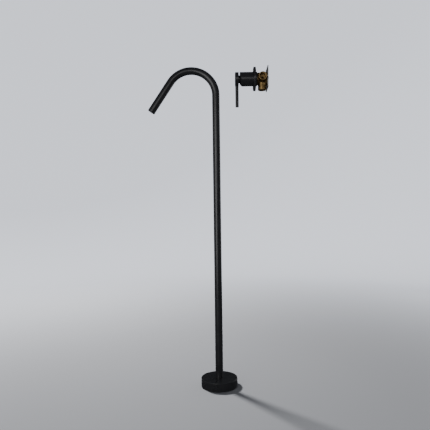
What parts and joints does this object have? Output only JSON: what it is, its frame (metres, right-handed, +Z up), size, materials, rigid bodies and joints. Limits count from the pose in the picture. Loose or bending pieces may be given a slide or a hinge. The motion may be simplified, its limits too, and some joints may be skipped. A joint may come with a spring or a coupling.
{
  "type": "floor-standing basin mixer",
  "caption": "Tall tube spout with a hooked outlet on a round floor base, and a wall-mounted single-lever mixing control with a hanging rod lever, in matt black.",
  "frame": {"origin": "on the floor under the column's axis, in the mouth of the floor inlet", "axes": "+Z up along the column, -X towards the spout's outlet, +X towards the wall of the control"},
  "size_m": [0.4072, 0.121, 1.0737],
  "materials": {
    "black_coat": "matt black powder coat with a fine texture",
    "raw_brass": "turned, uncoated",
    "black_rubber": "moulded",
    "pale_acetal": "moulded",
    "disc_ceramic": "ground and lapped ceramic",
    "dark_plastic": "moulded",
    "stainless_steel": "plain stainless steel"
  },
  "bodies": {
    "root": {"base_cover": "black_coat", "lower_column": "black_coat", "spout_column": "black_coat", "outlet_bush": "black_coat", "wall_plate": "black_coat", "sleeve": "black_coat", "floor_flange": "raw_brass", "column_spigot": "raw_brass", "valve_body": "raw_brass", "retaining_nut": "raw_brass", "floor_gasket": "black_rubber", "cover_o_ring": "black_rubber", "seam_washer": "black_rubber", "spigot_o_rings": "black_rubber", "aerator_washer": "black_rubber", "plate_seal": "black_rubber", "plate_o_ring": "black_rubber", "sleeve_o_rings": "black_rubber", "cartridge_seals": "black_rubber", "cartridge_base": "pale_acetal", "cartridge_housing": "pale_acetal", "fixed_ceramic_disc": "disc_ceramic", "aerator_housing": "dark_plastic", "aerator_grid": "dark_plastic", "aerator_diffuser": "dark_plastic", "column_grub_screw": "stainless_steel", "wall_bracket": "stainless_steel", "bracket_screws": "stainless_steel"},
    "temperature": {"temperature_carrier": "pale_acetal", "pivot_pin": "stainless_steel"},
    "lever": {"lever_stem": "stainless_steel", "dome_cap": "black_coat", "handle_hub": "black_coat", "lever_rod": "black_coat", "hub_grub_screw": "stainless_steel", "hub_plug": "black_rubber"},
    "disc": {"moving_ceramic_disc": "disc_ceramic", "disc_holder": "pale_acetal"}
  },
  "joints": [
    {"name": "temperature_swing", "type": "hinge", "parent": "root", "child": "temperature", "pos_m": [0.134, 0, 1.03], "axis": [1, 0, 0], "range_deg": [-45, 45]},
    {"name": "flow_tilt", "type": "hinge", "parent": "temperature", "child": "lever", "pos_m": [0.0935, 0, 1.03], "axis": [0, 1, 0], "range_deg": [-13, 10]},
    {"name": "disc_slide", "type": "slide", "parent": "temperature", "child": "disc", "axis": [0, 0, 1], "range_m": [-0.003, 0.0039]}
  ],
  "couplings": [
    {"joint": "disc_slide", "follows": "flow_tilt", "m_per_rad": -0.0166}
  ]
}
